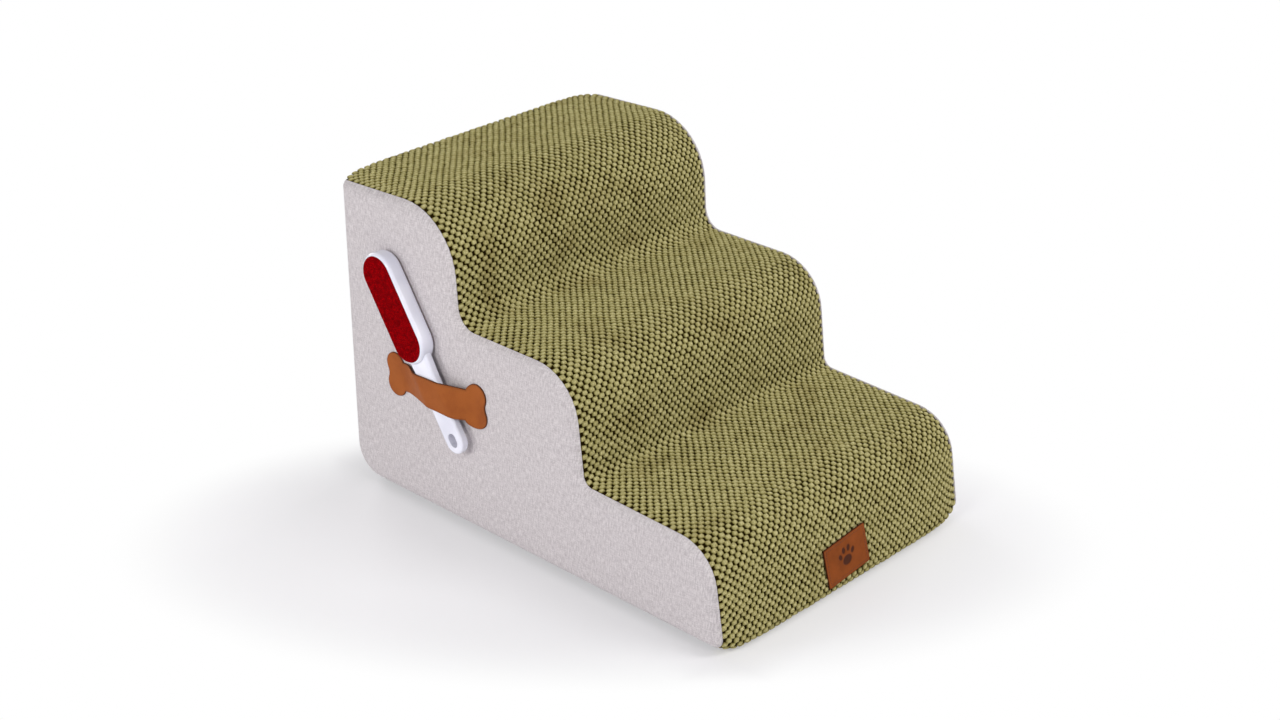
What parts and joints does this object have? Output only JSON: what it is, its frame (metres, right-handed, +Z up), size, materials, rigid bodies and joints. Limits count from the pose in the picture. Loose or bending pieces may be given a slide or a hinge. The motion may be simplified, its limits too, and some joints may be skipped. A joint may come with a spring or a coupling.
{
  "type": "pet stairs",
  "caption": "Padded foam pet stairs in a zipped cover with ribbed knit treads and linen sides, and a lint brush kept under a bone-shaped strap.",
  "frame": {"origin": "centre of the underside, on the floor", "axes": "+Z up; -Y is the front, where the lowest step is, and the steps climb towards +Y; the brush hangs on the -X side"},
  "size_m": [0.4464, 0.6062, 0.3896],
  "materials": {
    "knit": "raised popcorn knit, matte, with a soft sheen on the lumps",
    "linen": "fine heathered linen weave, matte",
    "non_slip": "matte cloth with small rubber dots",
    "foam": "soft upholstery foam",
    "zipper_tape": "fine woven tape",
    "zipper_coil": "satin moulded coil",
    "zipper_metal": "satin nickel",
    "leather": "smooth leather, fine grain, darker cut edge",
    "brush_plastic": "glossy moulded plastic",
    "nap": "short one-way nap"
  },
  "bodies": {
    "stairs": {"foam_core": "foam", "tread_cover": "knit", "left_side_panel": "linen", "right_side_panel": "linen", "back_panel": "linen", "base_panel": "non_slip", "zipper_tape_upper": "zipper_tape", "zipper_tape_lower": "zipper_tape", "zipper_coil_upper": "zipper_coil", "zipper_coil_lower": "zipper_coil", "zipper_left_stop": "zipper_metal", "zipper_right_stop": "zipper_metal", "bone_strap": "leather", "front_label": "leather"},
    "brush": {"brush_front_shell": "brush_plastic", "brush_back_shell": "brush_plastic", "brush_front_nap": "nap", "brush_back_nap": "nap"},
    "slider": {"zipper_slider": "zipper_metal"},
    "pull": {"zipper_pull": "zipper_metal"}
  },
  "joints": [
    {"name": "brush_slide", "type": "slide", "parent": "stairs", "child": "brush", "axis": [0, 0.5519, 0.8339], "range_m": [0, 0.11]},
    {"name": "zipper_slide", "type": "slide", "parent": "stairs", "child": "slider", "axis": [-1, 0, 0], "range_m": [0, 0.3284]},
    {"name": "pull_hinge", "type": "hinge", "parent": "slider", "child": "pull", "pos_m": [0.1642, 0.3044, 0.061], "axis": [0, 0, 1], "range_deg": [0, 165]}
  ]
}
